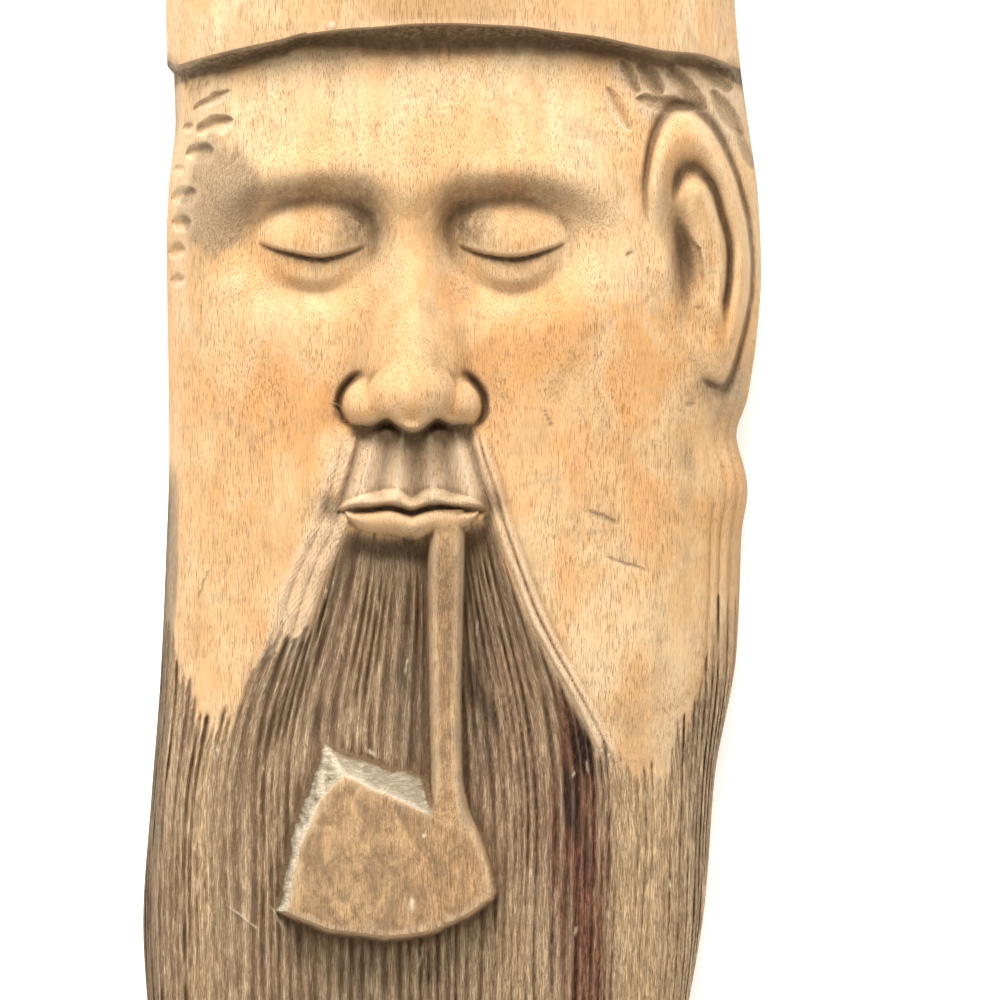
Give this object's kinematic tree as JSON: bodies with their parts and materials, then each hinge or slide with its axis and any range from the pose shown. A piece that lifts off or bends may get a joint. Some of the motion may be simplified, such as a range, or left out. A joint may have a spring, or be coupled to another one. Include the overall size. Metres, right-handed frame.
{
  "type": "carved wooden wall mask",
  "caption": "Long carved wooden wall mask of a bearded man in a round cap with a pipe at his lips, in one piece with a flat back.",
  "frame": {"origin": "under the middle of the mask's bounding box, on its flat back", "axes": "+Z out of the face, +Y along the mask towards the top of the cap, +X to the viewer's right"},
  "size_m": [0.155, 0.41, 0.0604],
  "materials": {
    "carved_wood": "bare pale tan carved wood with open pores, grey-brown stain in the cuts and a darker, greyer beard"
  },
  "bodies": {
    "root": {"carved_mask": "carved_wood"}
  },
  "joints": []
}
